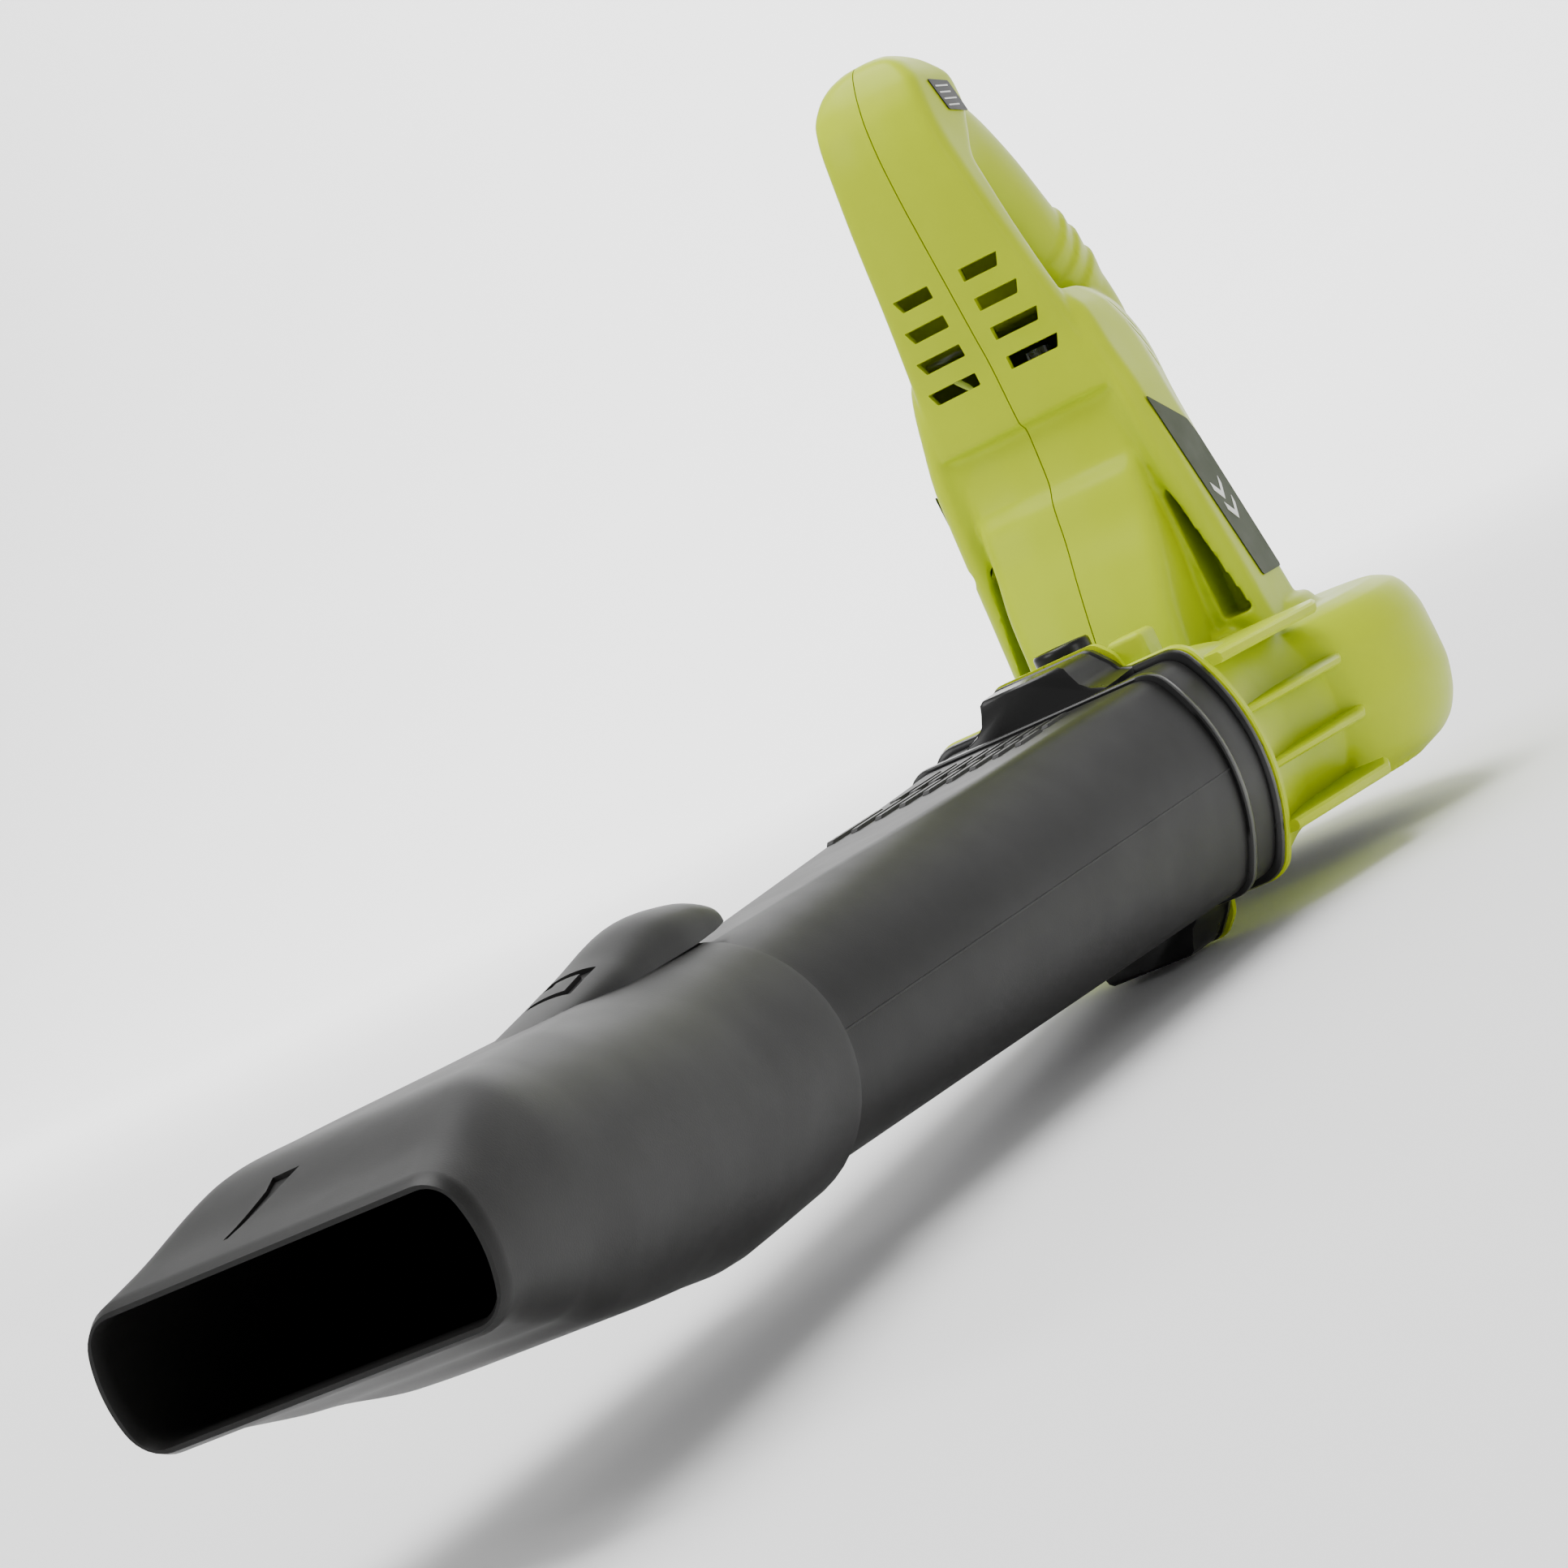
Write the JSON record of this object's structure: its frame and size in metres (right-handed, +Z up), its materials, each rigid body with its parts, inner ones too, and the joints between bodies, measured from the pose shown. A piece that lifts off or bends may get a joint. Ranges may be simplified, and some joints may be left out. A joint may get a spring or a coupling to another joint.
{
  "type": "leaf blower",
  "caption": "Hand-held corded leaf blower with a D-shaped handle over a round fan casing, a push-on tube and a flat nozzle.",
  "frame": {"origin": "on the fan's axis at the underside of the inlet grille's hub", "axes": "-Y along the tube towards the nozzle, +Z up along the motor shaft, +X towards the user's left hand"},
  "size_m": [0.1821, 0.6995, 0.292],
  "materials": {
    "green_plastic": "satin moulded lime green",
    "black_plastic": "satin black moulding",
    "charcoal_plastic": "fine-grained charcoal moulding",
    "black_rubber": "matt rubber",
    "olive_label": "dark olive film",
    "black_label": "black film",
    "grey_nylon": "glass-filled nylon",
    "steel": "ground steel",
    "lamination": "stacked laminations",
    "copper": "varnished copper winding",
    "brass": "stamped brass",
    "carbon": "pressed carbon",
    "capacitor_yellow": "yellow film case",
    "aluminium_cast": "cast bracket"
  },
  "bodies": {
    "housing": {"housing_left": "green_plastic", "housing_right": "green_plastic", "inlet_grille": "black_plastic", "release_spring": "steel", "trigger_pin": "steel", "switch_body": "black_plastic", "power_inlet": "black_plastic", "inlet_pin_left": "brass", "inlet_pin_right": "brass", "stator_core": "lamination", "field_coil_left": "copper", "field_coil_right": "copper", "bearing_upper": "steel", "bearing_lower": "steel", "bracket_lower": "aluminium_cast", "bracket_upper": "aluminium_cast", "brush_left": "carbon", "brush_right": "carbon", "brush_holder_left": "brass", "brush_holder_right": "brass", "side_label_left": "olive_label", "side_label_right": "olive_label", "rating_label": "black_label", "capacitor": "capacitor_yellow", "housing_screw_1": "steel", "housing_screw_2": "steel", "housing_screw_3": "steel", "housing_screw_4": "steel", "housing_screw_5": "steel"},
    "rotor": {"motor_shaft": "steel", "armature_core": "lamination", "winding_lower": "copper", "winding_upper": "copper", "commutator": "brass", "cooling_fan": "grey_nylon", "impeller": "grey_nylon", "impeller_nut": "steel"},
    "tube": {"blower_tube": "charcoal_plastic", "outlet_gasket": "black_rubber"},
    "nozzle_body": {"nozzle": "charcoal_plastic"},
    "trigger_body": {"trigger": "black_plastic"},
    "button_body": {"release_button": "black_plastic"}
  },
  "joints": [
    {"name": "fan_spin", "type": "hinge", "parent": "housing", "child": "rotor", "pos_m": [0, 0, 0.03], "axis": [0, 0, 1], "continuous": true},
    {"name": "tube_pull", "type": "slide", "parent": "housing", "child": "tube", "axis": [0, -1, 0], "range_m": [0, 0.04]},
    {"name": "nozzle_pull", "type": "slide", "parent": "tube", "child": "nozzle_body", "axis": [0, -1, 0], "range_m": [0, 0.045]},
    {"name": "trigger_pull", "type": "hinge", "parent": "housing", "child": "trigger_body", "pos_m": [0, 0.004, 0.226], "axis": [1, 0, 0], "range_deg": [0, 8], "stiffness_Nm_per_rad": 1.2, "springref_deg": -5.73},
    {"name": "release_press", "type": "slide", "parent": "housing", "child": "button_body", "axis": [0, 0, -1], "range_m": [0, 0.0025], "stiffness_N_per_m": 1200, "springref_m": -0.0015, "deforming": ["release_spring"]}
  ]
}
